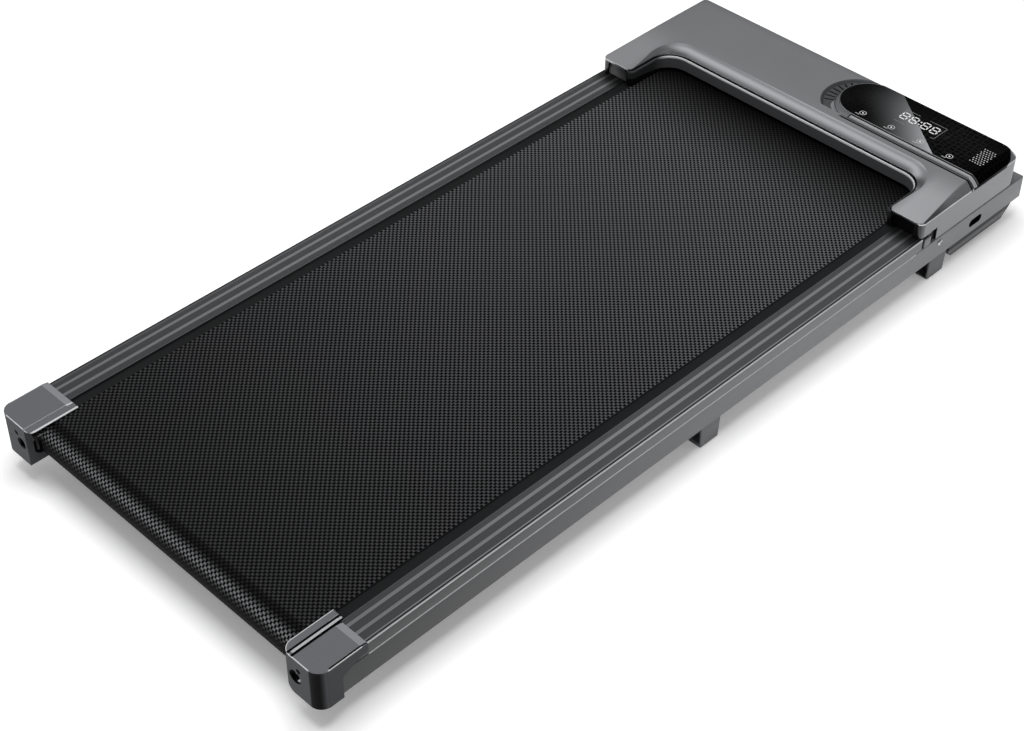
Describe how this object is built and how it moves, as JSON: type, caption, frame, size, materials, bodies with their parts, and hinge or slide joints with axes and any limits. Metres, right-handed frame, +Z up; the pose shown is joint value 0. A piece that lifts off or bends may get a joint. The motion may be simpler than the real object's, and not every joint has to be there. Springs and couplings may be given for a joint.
{
  "type": "walking pad",
  "caption": "Low motor-driven walking pad: black belt over a deck between ribbed aluminium foot rails, with a grey motor hood that carries a touch display.",
  "frame": {"origin": "on the floor under the middle of the pad", "axes": "+Z up, +Y along the belt towards the motor hood, +X towards the display end of the hood"},
  "size_m": [0.504, 1.124, 0.1102],
  "materials": {
    "frame_paint": "satin grey powder coat",
    "rail_metal": "brushed dark anodised, ribbed",
    "hood_plastic": "satin gunmetal moulding",
    "cap_plastic": "satin gunmetal moulding with bright edges",
    "black_plastic": "fine-grained black",
    "belt_weave": "black diamond-embossed walking belt",
    "deck_board": "black phenolic-faced fibreboard",
    "foot_rubber": "dark grey moulded rubber",
    "wheel_rubber": "hard black rubber",
    "steel": "plain turned steel",
    "zinc_steel": "zinc-plated sheet and screws",
    "panel_gloss": "polished black touch panel",
    "trim_silver": "bright metallised trim with fine cross ribs",
    "circuit_green": "green circuit board",
    "digit_glass": "white segment display",
    "speaker_black": "paper cone and magnet",
    "motor_paint": "black enamel",
    "motor_alloy": "die-cast",
    "sink_alloy": "extruded, plain",
    "drive_rubber": "ribbed black drive belt",
    "capacitor_sleeve": "dark blue sleeve",
    "button_red": "red push button"
  },
  "bodies": {
    "chassis": {"left_frame_tube": "frame_paint", "right_frame_tube": "frame_paint", "front_cross_tube": "frame_paint", "cross_members": "frame_paint", "tube_end_plugs": "black_plastic", "left_foot_rail": "rail_metal", "right_foot_rail": "rail_metal", "rail_screws": "zinc_steel", "rail_end_brackets": "zinc_steel", "side_screws": "steel", "running_deck": "deck_board", "deck_cushions": "foot_rubber", "deck_screws": "zinc_steel", "walking_belt": "belt_weave", "rear_axle": "steel", "left_tension_bracket": "zinc_steel", "right_tension_bracket": "zinc_steel", "left_end_cap": "cap_plastic", "right_end_cap": "cap_plastic", "front_axle": "steel", "left_roller_bracket": "zinc_steel", "right_roller_bracket": "zinc_steel", "drive_belt": "drive_rubber", "motor_can": "motor_paint", "motor_end_bells": "motor_alloy", "motor_bracket": "zinc_steel", "motor_clamp": "zinc_steel", "motor_bolts": "zinc_steel", "hood_shell": "hood_plastic", "display_panel": "panel_gloss", "display_trim": "trim_silver", "display_board": "circuit_green", "digit_module": "digit_glass", "speaker": "speaker_black", "power_inlet": "black_plastic", "switch_frame": "black_plastic", "circuit_breaker": "black_plastic", "bottom_pan": "black_plastic", "pan_screws": "zinc_steel", "wheel_axles": "steel", "control_board": "circuit_green", "heatsink": "sink_alloy", "capacitors": "capacitor_sleeve", "rear_feet": "foot_rubber", "middle_feet": "foot_rubber", "front_feet": "foot_rubber"},
    "front_roller": {"front_roller": "steel", "front_roller_bearings": "steel", "roller_pulley": "black_plastic"},
    "rear_roller": {"rear_roller": "steel", "rear_roller_bearings": "steel"},
    "motor_rotor": {"motor_shaft": "steel", "motor_pulley": "steel", "cooling_fan": "black_plastic"},
    "left_tension_bolt": {"left_tension_bolt": "zinc_steel"},
    "right_tension_bolt": {"right_tension_bolt": "zinc_steel"},
    "left_wheel": {"left_wheel": "wheel_rubber"},
    "right_wheel": {"right_wheel": "wheel_rubber"},
    "power_rocker": {"power_rocker": "black_plastic"},
    "reset_button": {"reset_button": "button_red"}
  },
  "joints": [
    {"name": "front_roller_spin", "type": "hinge", "parent": "chassis", "child": "front_roller", "pos_m": [0, 0.445, 0.0546], "axis": [1, 0, 0], "continuous": true},
    {"name": "rear_roller_spin", "type": "hinge", "parent": "chassis", "child": "rear_roller", "pos_m": [0, -0.527, 0.0546], "axis": [1, 0, 0], "continuous": true},
    {"name": "motor_spin", "type": "hinge", "parent": "chassis", "child": "motor_rotor", "pos_m": [-0.1285, 0.504, 0.045], "axis": [1, 0, 0], "continuous": true},
    {"name": "left_bolt_turn", "type": "hinge", "parent": "chassis", "child": "left_tension_bolt", "pos_m": [-0.217, -0.55, 0.0546], "axis": [0, 1, 0], "range_deg": [-1800, 1800]},
    {"name": "right_bolt_turn", "type": "hinge", "parent": "chassis", "child": "right_tension_bolt", "pos_m": [0.217, -0.55, 0.0546], "axis": [0, 1, 0], "range_deg": [-1800, 1800]},
    {"name": "left_wheel_spin", "type": "hinge", "parent": "chassis", "child": "left_wheel", "pos_m": [-0.186, 0.541, 0.013], "axis": [1, 0, 0], "continuous": true},
    {"name": "right_wheel_spin", "type": "hinge", "parent": "chassis", "child": "right_wheel", "pos_m": [0.186, 0.541, 0.013], "axis": [1, 0, 0], "continuous": true},
    {"name": "power_rocker_tilt", "type": "hinge", "parent": "chassis", "child": "power_rocker", "pos_m": [0.14, 0.546, 0.082], "axis": [0, 0, 1], "range_deg": [-16, 0]},
    {"name": "reset_button_press", "type": "slide", "parent": "chassis", "child": "reset_button", "axis": [0, 1, 0], "range_m": [-0.003, 0], "stiffness_N_per_m": 300}
  ],
  "couplings": [
    {"joint": "rear_roller_spin", "follows": "front_roller_spin", "ratio": 1},
    {"joint": "motor_spin", "follows": "front_roller_spin", "ratio": 2.5}
  ]
}
